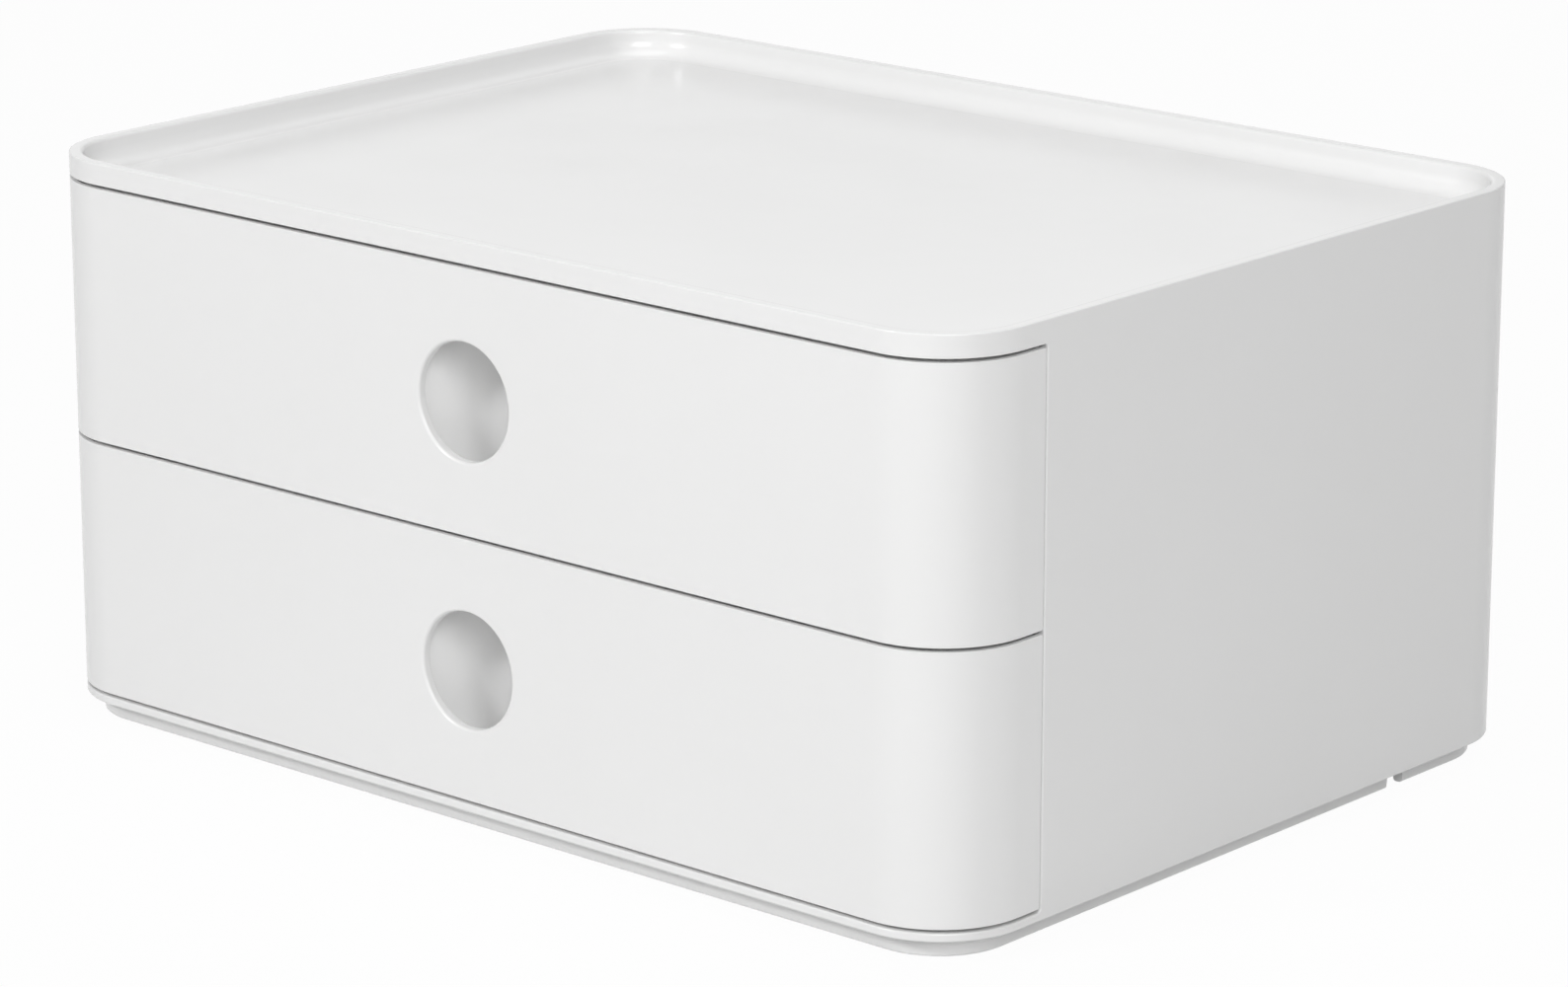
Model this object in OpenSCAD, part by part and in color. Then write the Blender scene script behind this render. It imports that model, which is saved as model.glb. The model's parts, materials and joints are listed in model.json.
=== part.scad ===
// Desktop drawer box: a tray-topped housing with two drawers, a divider shelf and a stacking base.
// Origin at the middle of the footprint, at the level of the feet. Drawers open towards -Y.

/* [Overall] */
// Width of the box, side to side
body_w = 260; // [220:1:320]
// Depth of the box, front to rear
body_d = 194; // [170:1:240]
// Outer radius of the four upright corners
corner_r = 20; // [16:0.5:26]
// Thickness of the side and rear walls
wall = 2.4; // [2:0.1:2.8]

/* [Tray top] */
// Width of the rim seen from above
rim_w = 3; // [2.9:0.1:4]
// Height of the upright part of the rim's inner face
rim_upright = 3.1; // [2:0.1:4.5]
// Height of the sloping foot of the rim
cove_h = 3.2; // [2:0.1:4]
// Width of the sloping foot of the rim
cove_w = 3.3; // [2:0.1:5]
// Thickness of the tray floor
tray_t = 2.2; // [1.8:0.1:3]
// Height of the skirt that hangs over the upper front
skirt_h = 4.8; // [3.5:0.1:6]
// Rounding of the rim's top edges
rim_edge_r = 0.7; // [0.3:0.1:1.2]

/* [Drawer fronts] */
// Height of one drawer front
front_h = 56.4; // [54:0.2:70]
// Thickness of a drawer front
front_t = 2.3; // [2:0.1:2.4]
// How far a front wraps back along the side of the box
front_wrap = 26.9; // [25:0.1:34]
// Gap between two fronts, and between a front and the housing above or below it
seam = 0.8; // [0.5:0.1:1.2]
// Gap between the end of a front and the side wall behind it
side_gap = 0.5; // [0.4:0.1:1]
// Rounding of a front's outer edges
front_edge_r = 0.4; // [0.2:0.1:0.9]
// Radius of a front's four corners, seen from the side
front_tip_r = 1; // [0.6:0.1:3]

/* [Finger pulls] */
// Diameter of the finger hole
pull_d = 24.5; // [20:0.5:28]
// Radius of the rounded lip round the hole
pull_lip_r = 1.5; // [0.6:0.1:1.8]
// Inner radius of the upright half-round pocket behind the hole
pocket_r = 13.5; // [12.9:0.1:17]
// How far the pocket reaches above the middle of the hole
pocket_rise = 16; // [14.5:0.5:17.5]
// Radius of the pocket's domed shoulder
pocket_dome_r = 6; // [3:0.5:8]

/* [Drawer tubs] */
// Thickness of a tub's walls and floor
tub_t = 2; // [1.6:0.1:2.4]
// Gap between the stop lugs and what is above them
lug_gap = 0.5; // [0.4:0.1:1.2]
// Running gap between a tub and the side wall
tub_side_gap = 0.8; // [0.6:0.1:1.5]
// Free space behind a closed tub
tub_rear_gap = 3; // [2.5:0.1:8]
// Gap between a tub and the back of its front, and between a tub and its glide ribs
seat_gap = 0.3; // [0.2:0.1:0.5]
// Radius between a tub's floor and walls, inside
tub_fillet_r = 4; // [2:0.5:8]
// Height of the stop lugs above a tub's rear wall
lug_h = 2.2; // [1.6:0.1:2.4]
// Width of a stop lug
lug_w = 16; // [8:1:24]
// Distance of the stop lugs from the middle of the tub
lug_x = 55; // [45:1:80]
// Distance of the inner snap hooks of a front from its middle
hook_near = 46; // [30:1:60]
// Distance of the outer snap hooks of a front from its middle
hook_far = 90; // [75:1:94]
// How far a drawer can be pulled out
travel = 127; // [90:1:135]

/* [Divider shelf] */
// Thickness of the divider shelf
shelf_t = 2; // [1.6:0.1:2.4]
// Width of the ledge that carries the shelf
ledge_w = 2; // [1.6:0.1:3]
// Height of the ledge that carries the shelf
ledge_h = 2; // [1.2:0.1:2.2]
// Height of the glide ribs that the tubs run on
glide_h = 0.8; // [0.6:0.1:1.2]
// Width of a glide rib
glide_w = 2.4; // [1.5:0.1:5]
// Distance of the inner glide ribs from the middle
glide_near = 34; // [20:1:60]
// Distance of the outer glide ribs from the middle
glide_far = 98; // [70:1:102]

/* [Base] */
// How far the feet stand out below the rail
foot_proud = 0.4; // [0.2:0.1:1.5]
// Height of the stacking rail
rail_h = 2.6; // [2:0.1:3.6]
// How far the base plate hangs below the housing
plate_drop = 1.8; // [0.8:0.1:2]
// Height of the plinth under the lower front
plinth_h = 1.8; // [1.4:0.1:3]
// How far the base plate reaches up inside the housing
base_seat = 0.6; // [0.4:0.1:0.8]
// Gap between the base plate and the rim of a box that this one is stacked on
stack_gap = 0.2; // [0.1:0.1:0.6]
// Step from the base plate's edge in to the rail
rail_step = 0.5; // [0.3:0.1:1.5]
// How much further in the rail's lower edge lies than its upper edge
rail_draft = 0.2; // [0:0.1:1]
// Thickness of the rail at its lower edge
rail_t = 2.2; // [2:0.1:4]
// Rounding of the lower edges of the housing and the base plate
low_edge_r = 0.4; // [0.2:0.1:0.7]
// Rounding of the rail's lower edges
rail_edge_r = 0.7; // [0.3:0.1:1]
// Width of the notch in each side of the rail
notch_w = 5.6; // [3:0.1:20]
// Distance from the rear of the box to the middle of the notch
notch_back = 42.2; // [34:0.1:60]
// Diameter of a rubber foot
foot_d = 12; // [8:0.5:14]
// Distance of a foot's middle from the outside of the box
foot_inset = 24; // [22:0.5:40]
// Height of the stiffening ribs under the base plate
under_rib_h = 1.4; // [0.8:0.1:2]
// Thickness of those ribs
under_rib_t = 1.4; // [1:0.1:2]

/* [Hidden] */
$fn = 96;
eps = 0.01;

// Levels, from the floor up
rail_z = foot_proud;
plate_z = rail_z + rail_h;
body_z = plate_z + plate_drop;
base_top = body_z + base_seat;
sill_z = body_z + plinth_h;
lower_z = sill_z + seam;
pitch = front_h + seam;
upper_z = lower_z + pitch;
skirt_z = upper_z + pitch;
top_z = skirt_z + skirt_h;
cove_z = top_z - rim_upright;
tray_z = cove_z - cove_h;
tray_under = tray_z - tray_t;
shelf_top = upper_z - seam;
shelf_z = shelf_top - shelf_t;

// Places in plan
front_y = -body_d / 2;
side_y = front_y + front_wrap + side_gap;
tub_front_y = front_y + front_t + seat_gap;
tub_rear_y = body_d / 2 - wall - tub_rear_gap;
tub_d = tub_rear_y - tub_front_y;
tub_y = (tub_rear_y + tub_front_y) / 2;
tub_w = body_w - 2 * (wall + tub_side_gap);
tub_r = corner_r - front_t - tub_side_gap;
tub_lift = seat_gap;
room_below_shelf = shelf_z - lower_z;
room_below_tray = tray_under - upper_z;
tub_h = min(room_below_shelf, room_below_tray) - tub_lift - lug_h - lug_gap;
plate_gap = 0.2;
plate_inset = wall + plate_gap;
drop_inset = max(rim_w + stack_gap, plate_inset);
rail_inset = drop_inset + rail_step;
behind_front = front_t + 0.7;

// Lip inside the housing's lower edge, and the hooks of the base that grip it
lip_w = 6.6;
lip_z = base_top;
base_hook_w = 8;
base_hook_t = 1.6;
base_hook_gap = 0.4;
base_hook_x = 65;
base_hook_y = 39;

// Stop ribs that meet the lugs of a drawer pulled right out
stop_t = 2;
stop_clear = 0.3;
stop_y = tub_rear_y - tub_t - travel - stop_clear - stop_t;
stop_over_tub = 0.5;
stop_w = lug_w + 8;

// Snap hooks that hold a front on its tub
hook_w = 8;
hook_t = 1.6;
hook_barb = 0.9;
hook_gap = 0.4;
hook_low = 9;
hook_high = tub_h - 9;
hook_rows = [hook_low, hook_high];
hook_columns = [-hook_far, -hook_near, hook_near, hook_far];
hook_reach = front_t + seat_gap + tub_t + 2 * seat_gap;

// Middle of a finger hole above its front's lower edge, and above its tub's floor
pull_z = front_h / 2;
pull_over_tub = pull_z - tub_lift;

// Glide ribs that the tubs run on
glide_x = [-glide_far, -glide_near, glide_near, glide_far];
glide_front = 8;
glide_back = 14;

// Locating nubs between ledge and shelf
nub_d = 5;
nub_back = 12;
nub_y = side_y + nub_back;
nub_clear = 0.3;

// Feet and their sockets
foot_gap = 0.1;
foot_seat = 0.8;
socket_t = 1.5;
socket_drop = 2;
foot_edge = 0.6;

// Ribs under the base plate
under_rib_x = [-base_hook_x, 0, base_hook_x];
under_rib_y = [-base_hook_y, base_hook_y];
under_rib_edge = rail_inset + rail_t;

white = [0.93, 0.93, 0.92];
inner_white = [0.9, 0.9, 0.89];
rubber = [0.62, 0.63, 0.63];

// Rounded rectangle, centred
module plan(w, d, r) {
    square([w - 2 * r, d], center = true);
    square([w, d - 2 * r], center = true);
    for (x = [-1, 1], y = [-1, 1])
        translate([x * (w / 2 - r), y * (d / 2 - r)])
            circle(r);
}

// The box's own outline, drawn in by inset, from one level to another
module slab(inset, z0, z1) {
    translate([0, 0, z0])
        linear_extrude(z1 - z0)
            plan(body_w - 2 * inset, body_d - 2 * inset, corner_r - inset);
}

// A profile run along one straight side; its x is the distance inwards, its y the height
module run(length, offset) {
    translate([-length / 2, -offset, 0])
        rotate([90, 0, 90])
            linear_extrude(length)
                children();
}

// The same profile turned round one corner
module turn(x, y, r, from) {
    translate([x, y, 0])
        rotate([0, 0, from])
            rotate_extrude(angle = 90)
                translate([r, 0])
                    mirror([1, 0])
                        children();
}

// A profile carried all the way round a rounded rectangle
module around(w, d, r) {
    for (a = [0, 180]) {
        rotate([0, 0, a])
            run(w - 2 * r, d / 2)
                children();
        rotate([0, 0, a + 90])
            run(d - 2 * r, w / 2)
                children();
    }
    turn(w / 2 - r, d / 2 - r, r, 0)
        children();
    turn(r - w / 2, d / 2 - r, r, 90)
        children();
    turn(r - w / 2, r - d / 2, r, 180)
        children();
    turn(w / 2 - r, r - d / 2, r, 270)
        children();
}

// A profile carried across the front of the box, round both corners and back along the sides
module across_front(wrap) {
    run(body_w - 2 * corner_r, body_d / 2)
        children();
    turn(body_w / 2 - corner_r, front_y + corner_r, corner_r, 270)
        children();
    turn(corner_r - body_w / 2, front_y + corner_r, corner_r, 180)
        children();
    stub = wrap - corner_r;
    for (side = [90, -90])
        translate([0, front_y + corner_r + stub / 2, 0])
            rotate([0, 0, side])
                run(stub, body_w / 2)
                    children();
}

// Material that a rounded edge of radius r takes off a corner at the origin
module edge_round(r) {
    difference() {
        translate([-eps, -eps])
            square(r + eps);
        translate([r, r])
            circle(r);
    }
}

// Hollow of the tray: upright rim, sloping foot, flat floor
module tray_space() {
    slab(rim_w, cove_z - eps, top_z + 1);
    slab(rim_w + cove_w, tray_z, cove_z);
    around(body_w, body_d, corner_r)
        polygon([[rim_w, cove_z], [rim_w + cove_w, cove_z], [rim_w + cove_w, tray_z]]);
}

// Everything in front of the side walls that the drawer fronts fill
module front_space() {
    difference() {
        translate([-body_w, -body_d, sill_z])
            cube([2 * body_w, body_d + side_y, skirt_z - sill_z]);
        slab(behind_front, tray_under, skirt_z + 1);
    }
}

module ledge() {
    z = shelf_z - ledge_h;
    difference() {
        slab(wall - eps, z, shelf_z);
        slab(wall + ledge_w, z - 1, shelf_z + 1);
        translate([-body_w, -body_d, z - 1])
            cube([2 * body_w, body_d + side_y + 2, ledge_h + 2]);
    }
    for (side = [-1, 1])
        translate([side * (body_w / 2 - wall - ledge_w / 2), nub_y, shelf_z - eps])
            translate([-ledge_w / 2, -nub_d / 2, 0])
                cube([ledge_w, nub_d, shelf_t - nub_clear]);
}

// Pair of ribs under a ceiling at z that stop the lugs of a drawer whose tub ends at tub_top
module stop_ribs(z, tub_top) {
    drop = z - tub_top - stop_over_tub;
    for (side = [-1, 1])
        translate([side * lug_x - stop_w / 2, stop_y, z - drop])
            cube([stop_w, stop_t, drop + eps]);
}

// Places of the hooks between base and housing, with the turn that points each at its wall
module at_base_hooks() {
    reach_x = body_w / 2 - wall - lip_w / 2;
    reach_y = body_d / 2 - wall - lip_w / 2;
    for (side = [-1, 1], along = [-1, 1]) {
        translate([side * reach_x, along * base_hook_y, 0])
            rotate([0, 0, side * 90])
                children();
        translate([along * base_hook_x, side * reach_y, 0])
            rotate([0, 0, side > 0 ? 180 : 0])
                children();
    }
}

module housing() {
    color(white)
    difference() {
        union() {
            difference() {
                slab(0, body_z, top_z);
                slab(wall, sill_z, tray_under);
                slab(wall, body_z - 1, lip_z);
                slab(wall + lip_w, body_z, sill_z + 1);
                front_space();
            }
            ledge();
            stop_ribs(tray_under, upper_z + tub_lift + tub_h);
        }
        tray_space();
        around(body_w, body_d, corner_r)
            translate([0, top_z])
                mirror([0, 1])
                    edge_round(rim_edge_r);
        around(body_w, body_d, corner_r)
            translate([rim_w, top_z])
                mirror([1, 1])
                    edge_round(rim_edge_r);
        around(body_w, body_d, corner_r)
            translate([0, body_z])
                edge_round(low_edge_r);
        across_front(front_wrap)
            translate([0, skirt_z])
                edge_round(front_edge_r);
        across_front(front_wrap)
            translate([0, sill_z])
                mirror([0, 1])
                    edge_round(front_edge_r);
        for (side = [-1, 1])
            translate([side * body_w / 2, side_y, sill_z])
                linear_extrude(skirt_z - sill_z)
                    mirror([side > 0 ? 1 : 0, 0])
                        edge_round(front_edge_r);
        at_base_hooks()
            translate([-base_hook_w / 2 - base_hook_gap, -lip_w / 4, lip_z - 1])
                cube([base_hook_w + 2 * base_hook_gap, lip_w / 2, sill_z - lip_z + 2]);
    }
}

module glide_ribs(z0, z1) {
    y0 = front_y + behind_front + glide_front;
    for (x = glide_x)
        translate([x - glide_w / 2, y0, z0 - eps])
            cube([glide_w, tub_rear_y - glide_back - y0, z1 - z0 + eps]);
}

module divider_shelf() {
    color(inner_white) {
        difference() {
            slab(behind_front, shelf_z, shelf_top);
            for (side = [-1, 1])
                translate([side * body_w / 2, nub_y, 0])
                    translate([0, 0, shelf_z + shelf_t / 2])
                        cube([
                            2 * (wall + ledge_w + nub_clear),
                            nub_d + 2 * nub_clear,
                            2 * shelf_t
                        ], center = true);
        }
        glide_ribs(shelf_top, shelf_top + glide_h);
        stop_ribs(shelf_z, lower_z + tub_lift + tub_h);
    }
}

// Cross-section of the stacking rail
module rail_profile() {
    low = rail_inset + rail_draft;
    polygon([
        [rail_inset, plate_z + eps],
        [low, rail_z + rail_edge_r],
        [low + rail_t, rail_z + rail_edge_r],
        [low + rail_t, plate_z + eps]
    ]);
    translate([low + rail_edge_r, rail_z])
        square([rail_t - 2 * rail_edge_r, rail_edge_r + eps]);
    for (s = [low + rail_edge_r, low + rail_t - rail_edge_r])
        translate([s, rail_z + rail_edge_r])
            circle(rail_edge_r);
}

module stacking_rail() {
    mid = rail_inset + (rail_draft + rail_t) / 2;
    end_r = (rail_draft + rail_t) / 2;
    difference() {
        around(body_w, body_d, corner_r)
            rail_profile();
        for (side = [-1, 1])
            translate([
                side * (body_w / 2 - mid),
                body_d / 2 - notch_back,
                rail_z + rail_h / 2
            ])
                cube([4 * rail_t, notch_w + 2 * end_r, rail_h + eps], center = true);
    }
    for (side = [-1, 1], end = [-1, 1])
        translate([
            side * (body_w / 2 - mid),
            body_d / 2 - notch_back + end * (notch_w / 2 + end_r),
            rail_z
        ])
            cylinder(r = end_r, h = rail_h + eps);
}

module at_feet() {
    for (x = [-1, 1], y = [-1, 1])
        translate([x * (body_w / 2 - foot_inset), y * (body_d / 2 - foot_inset), 0])
            children();
}

// Hook that rises through the housing's lip and grips its upper face
module base_hook() {
    rise = sill_z - base_top + glide_h - eps;
    translate([-base_hook_w / 2, -base_hook_t / 2, base_top - eps])
        cube([base_hook_w, base_hook_t, rise]);
    translate([-base_hook_w / 2, -lip_w / 4 - 1, sill_z + plate_gap / 2])
        cube([base_hook_w, lip_w / 4 + 1, glide_h - plate_gap / 2 - eps]);
}

module base() {
    color(white)
    difference() {
        union() {
            slab(plate_inset, body_z, base_top);
            slab(drop_inset, plate_z, body_z + eps);
            stacking_rail();
            glide_ribs(base_top, lower_z);
            at_base_hooks()
                base_hook();
            at_feet()
                translate([0, 0, plate_z - socket_drop])
                    cylinder(d = foot_d + 2 * (foot_gap + socket_t), h = socket_drop + eps);
            for (x = under_rib_x)
                translate([x, 0, plate_z - under_rib_h / 2])
                    cube([under_rib_t, body_d - 2 * under_rib_edge, under_rib_h + eps], center = true);
            for (y = under_rib_y)
                translate([0, y, plate_z - under_rib_h / 2])
                    cube([body_w - 2 * under_rib_edge, under_rib_t, under_rib_h + eps], center = true);
        }
        around(body_w, body_d, corner_r)
            translate([drop_inset, plate_z])
                edge_round(low_edge_r);
        at_feet()
            translate([0, 0, -1])
                cylinder(d = foot_d + 2 * foot_gap, h = plate_z + foot_seat + 1);
    }
}

module foot(x, y) {
    r = foot_d / 2;
    color(rubber)
    translate([x * (body_w / 2 - foot_inset), y * (body_d / 2 - foot_inset), 0])
        rotate_extrude()
            polygon([
                [0, 0],
                [r - foot_edge, 0],
                [r, foot_edge],
                [r, plate_z + foot_seat],
                [0, plate_z + foot_seat]
            ]);
}

// Inside of a tub, with a rounded foot to its walls; its floor is at z = 0
module tub_space() {
    w = tub_w - 2 * tub_t;
    d = tub_d - 2 * tub_t;
    r = tub_r - tub_t;
    f = tub_fillet_r;
    translate([0, 0, f])
        linear_extrude(tub_h)
            plan(w, d, r);
    linear_extrude(f + eps)
        plan(w - 2 * f, d - 2 * f, r - f);
    around(w, d, r)
        intersection() {
            square([f, f + eps]);
            translate([f, f])
                circle(f);
        }
}

// Upright half-round column with a domed shoulder, standing on z = 0
module column(r, h, dome) {
    rotate_extrude() {
        square([r, h - dome]);
        square([r - dome, h]);
        translate([r - dome, h - dome])
            circle(dome);
    }
}

// Where the hooks of a front pass through the front wall of its tub
module at_hooks() {
    for (x = hook_columns, z = hook_rows)
        translate([x, front_y + front_t, z])
            children();
}

// A tub in its own place in plan, standing on z = 0
module tub() {
    difference() {
        union() {
            difference() {
                translate([0, tub_y, 0])
                    linear_extrude(tub_h)
                        plan(tub_w, tub_d, tub_r);
                translate([0, tub_y, tub_t])
                    tub_space();
            }
            intersection() {
                translate([0, tub_front_y, 0])
                    column(pocket_r + tub_t, pull_over_tub + pocket_rise + tub_t, pocket_dome_r);
                translate([-body_w, tub_front_y, 0])
                    cube([2 * body_w, body_d, tub_h]);
            }
        }
        translate([0, tub_front_y, tub_t])
            column(pocket_r, pull_over_tub + pocket_rise - tub_t, pocket_dome_r - tub_t);
        at_hooks()
            translate([-hook_w / 2 - hook_gap, 0, -hook_t / 2 - hook_gap])
                cube([hook_w + 2 * hook_gap, hook_reach, hook_t + 2 * hook_gap]);
    }
    for (side = [-1, 1])
        translate([side * lug_x - lug_w / 2, tub_rear_y - tub_t, tub_h - eps])
            cube([lug_w, tub_t, lug_h + eps]);
}

// Cross-section of a drawer front
module front_profile() {
    difference() {
        square([front_t, front_h]);
        edge_round(front_edge_r);
        translate([0, front_h])
            mirror([0, 1])
                edge_round(front_edge_r);
    }
}

// Cutter for the finger hole, along +Y from the face of the front
module pull_hole() {
    r = pull_d / 2;
    rotate([-90, 0, 0])
        rotate_extrude() {
            translate([0, -1])
                square([r, front_t + 2]);
            difference() {
                translate([0, -1])
                    square([r + pull_lip_r, pull_lip_r + 1]);
                translate([r + pull_lip_r, pull_lip_r])
                    circle(pull_lip_r);
            }
        }
}

// Rounded tips of a front's two returns, seen from the side
module tip_cut() {
    end_y = front_y + front_wrap;
    for (z = [0, 1])
        translate([0, end_y, z * front_h])
            mirror([0, 0, z])
                rotate([90, 0, 90])
                    linear_extrude(body_w + 2, center = true)
                        mirror([1, 0])
                            edge_round(front_tip_r);
}

// A drawer front in its own place in plan, its lower edge at z = 0
module front_panel() {
    difference() {
        across_front(front_wrap)
            front_profile();
        translate([0, front_y, pull_z])
            pull_hole();
        tip_cut();
    }
    at_hooks()
        translate([0, 0, tub_lift]) {
            translate([-hook_w / 2, -eps, -hook_t / 2])
                cube([hook_w, hook_reach - front_t + 1 + eps, hook_t]);
            translate([-hook_w / 2, hook_reach - front_t, -hook_t / 2])
                cube([hook_w, 1, hook_t + hook_barb]);
        }
}

module lower_drawer_tub() {
    color(inner_white)
        translate([0, 0, lower_z + tub_lift])
            tub();
}

module upper_drawer_tub() {
    color(inner_white)
        translate([0, 0, upper_z + tub_lift])
            tub();
}

module lower_drawer_front() {
    color(white)
        translate([0, 0, lower_z])
            front_panel();
}

module upper_drawer_front() {
    color(white)
        translate([0, 0, upper_z])
            front_panel();
}

housing();
divider_shelf();
base();
foot(-1, -1);  // foot_front_left
foot(1, -1);  // foot_front_right
foot(-1, 1);  // foot_rear_left
foot(1, 1);  // foot_rear_right
lower_drawer_tub();
lower_drawer_front();
upper_drawer_tub();
upper_drawer_front();
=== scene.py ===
# %% [markdown]
# # A desktop drawer box, piece by piece
#
# The object is a low box for a desk: a housing with a shallow tray on top, and two drawers whose
# fronts wrap round its corners. It is white gloss plastic nearly all over, so there is no pattern
# to look at. What the eye reads is the shape: even gaps, small rounded edges, and how light runs
# over them. Each piece is therefore modelled as its moulded part, and its edges get their radii.
#
# The first cell loads the frame: the solid model of the same box, which says where everything is.

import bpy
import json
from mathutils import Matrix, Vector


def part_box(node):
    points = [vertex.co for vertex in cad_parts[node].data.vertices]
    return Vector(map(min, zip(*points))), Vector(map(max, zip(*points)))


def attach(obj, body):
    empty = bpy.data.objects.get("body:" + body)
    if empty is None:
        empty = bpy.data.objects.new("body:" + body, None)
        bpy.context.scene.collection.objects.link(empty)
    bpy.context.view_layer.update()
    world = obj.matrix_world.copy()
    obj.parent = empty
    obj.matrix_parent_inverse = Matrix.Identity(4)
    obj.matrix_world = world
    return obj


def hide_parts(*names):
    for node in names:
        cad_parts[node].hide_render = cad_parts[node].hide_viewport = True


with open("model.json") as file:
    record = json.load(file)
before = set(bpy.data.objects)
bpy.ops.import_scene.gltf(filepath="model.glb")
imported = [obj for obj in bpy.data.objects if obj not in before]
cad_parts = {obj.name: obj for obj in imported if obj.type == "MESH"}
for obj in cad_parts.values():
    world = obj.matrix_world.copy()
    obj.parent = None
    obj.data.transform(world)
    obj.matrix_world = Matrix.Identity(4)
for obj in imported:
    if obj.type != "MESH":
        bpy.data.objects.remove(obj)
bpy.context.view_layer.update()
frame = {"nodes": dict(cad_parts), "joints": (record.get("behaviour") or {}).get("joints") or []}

import json
import math
from collections import namedtuple

import bmesh
import bpy
from mathutils import Matrix, Vector

MM = 0.001

# %% [markdown]
# ## The sizes that drive everything
#
# The overall sizes are measured on the frame, so the pieces can't drift away from it. The smaller
# ones are the mould maker's choices: wall, rim, gaps and radii. A designer would keep them in one
# place too, because nearly all of them return in more than one piece.

# %% Read the frame and name the sizes
housing_low, housing_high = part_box("housing")
lower_low, lower_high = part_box("lower_drawer_front")
upper_low, upper_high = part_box("upper_drawer_front")

BODY_W = housing_high.x - housing_low.x
BODY_D = housing_high.y - housing_low.y
FRONT_Y = housing_low.y
REAR_Y = housing_high.y
CORNER_R = 20 * MM
WALL = 2.4 * MM

BODY_Z = housing_low.z
TOP_Z = housing_high.z
FRONT_H = lower_high.z - lower_low.z
SEAM = upper_low.z - lower_high.z
SILL_Z = lower_low.z - SEAM
SKIRT_Z = upper_high.z + SEAM

RIM_W = 3 * MM
RIM_LEAN = math.radians(7)
COVE_R = 4.4 * MM
TRAY_DEPTH = 6.3 * MM
TRAY_T = 2.2 * MM
TRAY_Z = TOP_Z - TRAY_DEPTH
CEILING_Z = TRAY_Z - TRAY_T

SIDE_GAP = 0.5 * MM
RETURN_Y = upper_high.y
JAMB_Y = RETURN_Y + SIDE_GAP

TINY = 0.01 * MM
print(f"box {BODY_W / MM:.1f} x {BODY_D / MM:.1f} x {TOP_Z / MM:.1f} mm, seam {SEAM / MM:.2f} mm")

# %% [markdown]
# ## Walking round the outline
#
# Seen from above, nearly every piece here is the same figure: a rectangle with rounded corners,
# drawn a little further in or out. One could bevel a cube four times over, but then the rings of a
# wall, a lip and a rail would never line up. Instead, one point walks round the outline: it is
# extruded along the straight sides and spun round the corners. The ring that it leaves is then
# carried from one inset and height to the next, as a mould's section is drawn.

# %% Walk round an outline
Plan = namedtuple("Plan", "width depth radius middle_y")
BOX_PLAN = Plan(BODY_W, BODY_D, CORNER_R, 0.0)
CORNER_STEPS = 20


def new_verts(made):
    return [item for item in made if isinstance(item, bmesh.types.BMVert)]


def outline(mesh, plan, inset, z, stops=()):
    """A closed ring of edges round a plan; stops are places y where both sides get a point."""
    half_w, half_d = plan.width / 2 - inset, plan.depth / 2 - inset
    corner_x, corner_y = plan.width / 2 - plan.radius, plan.depth / 2 - plan.radius
    stops = [y - plan.middle_y for y in stops]
    runs = [
        [(half_w, y) for y in sorted(stops)] + [(half_w, corner_y)],
        [(-corner_x, half_d)],
        [(-half_w, y) for y in sorted(stops, reverse=True)] + [(-half_w, -corner_y)],
        [(corner_x, -half_d)],
    ]
    pivots = [(corner_x, corner_y), (-corner_x, corner_y)]
    pivots += [(-corner_x, -corner_y), (corner_x, -corner_y)]
    tip = mesh.verts.new((half_w, plan.middle_y - corner_y, z))
    for run, (pivot_x, pivot_y) in zip(runs, pivots):
        for x, y in run:
            tip = bmesh.ops.extrude_vert_indiv(mesh, verts=[tip])["verts"][0]
            tip.co = (x, y + plan.middle_y, z)
        turned = bmesh.ops.spin(
            mesh, geom=[tip], cent=(pivot_x, pivot_y + plan.middle_y, z), axis=(0, 0, 1),
            angle=math.pi / 2, steps=CORNER_STEPS,
        )
        tip = new_verts(turned["geom_last"])[0]
    bmesh.ops.remove_doubles(mesh, verts=mesh.verts[:], dist=TINY)
    return mesh.edges[:]


corner_step = math.pi / 2 * CORNER_R / CORNER_STEPS
print(f"corners turn in {CORNER_STEPS} steps of {corner_step / MM:.2f} mm")

# %% Carry a ring along a section
def on_plan(plan, place, inset, z):
    """The point at this inset and height, straight across the outline from place."""
    reach_x, reach_y = plan.width / 2 - plan.radius, plan.depth / 2 - plan.radius
    core = Vector((
        min(max(place.x, -reach_x), reach_x),
        min(max(place.y - plan.middle_y, -reach_y), reach_y) + plan.middle_y,
    ))
    outwards = (Vector((place.x, place.y)) - core).normalized()
    flat = core + outwards * (plan.radius - inset)
    return Vector((flat.x, flat.y, z))


def extrude_ring(mesh, ring):
    """Copies a ring of edges and joins both by faces; returns the copy's points and edges."""
    verts = new_verts(bmesh.ops.extrude_edge_only(mesh, edges=ring)["geom"])
    copied = set(verts)
    edges = [e for v in verts for e in v.link_edges if set(e.verts) <= copied and e.verts[0] == v]
    return verts, edges


def carry(mesh, plan, ring, inset, z):
    """Draws the next band of a section: the ring moves to a new inset and height."""
    verts, ring = extrude_ring(mesh, ring)
    for vert in verts:
        vert.co = on_plan(plan, vert.co, inset, z)
    return ring


def ring_at(mesh, plan, inset, z):
    """The edges that lie at this inset and height."""
    near = {v for v in mesh.verts if (v.co - on_plan(plan, v.co, inset, z)).length < TINY}
    return [e for e in mesh.edges if e.verts[0] in near and e.verts[1] in near]


def soften(mesh, edges, radius, segments=4):
    """Gives edges their moulded radius."""
    bmesh.ops.bevel(
        mesh, geom=edges, offset=radius, offset_type="OFFSET", affect="EDGES",
        segments=segments, profile=0.5, material=-1, clamp_overlap=True,
    )


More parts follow.
